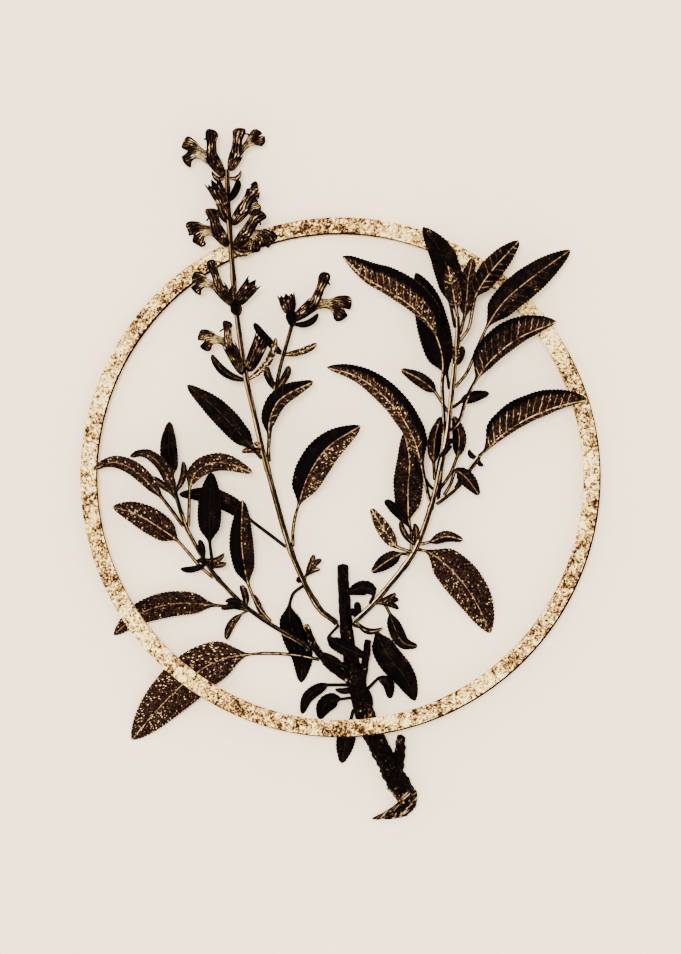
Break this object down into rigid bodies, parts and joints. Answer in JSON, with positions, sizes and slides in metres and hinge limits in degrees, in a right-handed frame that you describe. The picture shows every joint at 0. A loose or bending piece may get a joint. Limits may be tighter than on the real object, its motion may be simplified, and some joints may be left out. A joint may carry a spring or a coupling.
{
  "type": "flowering sage sprig in a hoop",
  "caption": "Cut flowering branch of garden sage with its torn woody heel, threaded through a flat gilded hoop.",
  "frame": {"origin": "on the table, under the middle of the whole object's box", "axes": "+Z up from the table that it lies on, +Y from the woody heel to the top flowers, +X to the right seen from above with +Y up"},
  "size_m": [0.2998, 0.399, 0.03],
  "materials": {
    "gold_leaf": "worn gilded",
    "bark": "rough bark",
    "stem": "satin with gilded ridges",
    "leaf": "matte with gilded stipple",
    "petal": "satin with gilded veins"
  },
  "bodies": {
    "root": {"hoop": "gold_leaf", "woody_base": "bark", "flowering_stem": "stem", "flower_side_stem": "stem", "right_stem": "stem", "right_side_stem": "stem", "left_stem": "stem", "left_leaf_top": "leaf", "left_leaf_arched": "leaf", "left_leaf_outer": "leaf", "left_leaf_broad": "leaf", "left_leaf_over": "leaf", "left_leaf_inner": "leaf", "left_leaf_tall": "leaf", "left_leaf_low": "leaf", "left_leaf_large": "leaf", "stem_leaf_behind": "leaf", "stem_leaf_left": "leaf", "stem_leaf_right": "leaf", "stem_leaf_broad": "leaf", "stem_leaf_drooping": "leaf", "right_leaf_long": "leaf", "right_leaf_dark": "leaf", "right_leaf_top": "leaf", "right_leaf_centre": "leaf", "right_leaf_behind": "leaf", "right_leaf_veined": "leaf", "right_leaf_far": "leaf", "right_leaf_folded": "leaf", "right_leaf_reaching": "leaf", "right_leaf_great": "leaf", "right_leaf_small_left": "leaf", "right_leaf_small_right": "leaf", "right_leaf_oval_left": "leaf", "right_leaf_oval_right": "leaf", "right_leaf_upright": "leaf", "right_leaf_side": "leaf", "right_leaf_drooping": "leaf", "right_leaf_narrow": "leaf", "right_leaf_lower": "leaf", "right_leaf_gilt": "leaf", "base_leaf_cupped": "leaf", "base_leaf_twisted": "leaf", "base_leaf_long": "leaf", "base_leaf_crossing": "leaf", "base_leaf_left": "leaf", "base_leaf_right": "leaf", "base_leaf_bent": "leaf", "base_leaf_under": "leaf", "flower_top_left": "petal", "flower_top_right": "petal", "flower_third_right": "petal", "flower_second_left": "petal", "flower_second_right": "petal", "flower_first_left": "petal", "flower_low_left": "petal", "flower_side": "petal", "calyx_third_left": "petal", "calyx_first_right": "petal", "calyx_low_right": "petal"}
  },
  "joints": []
}
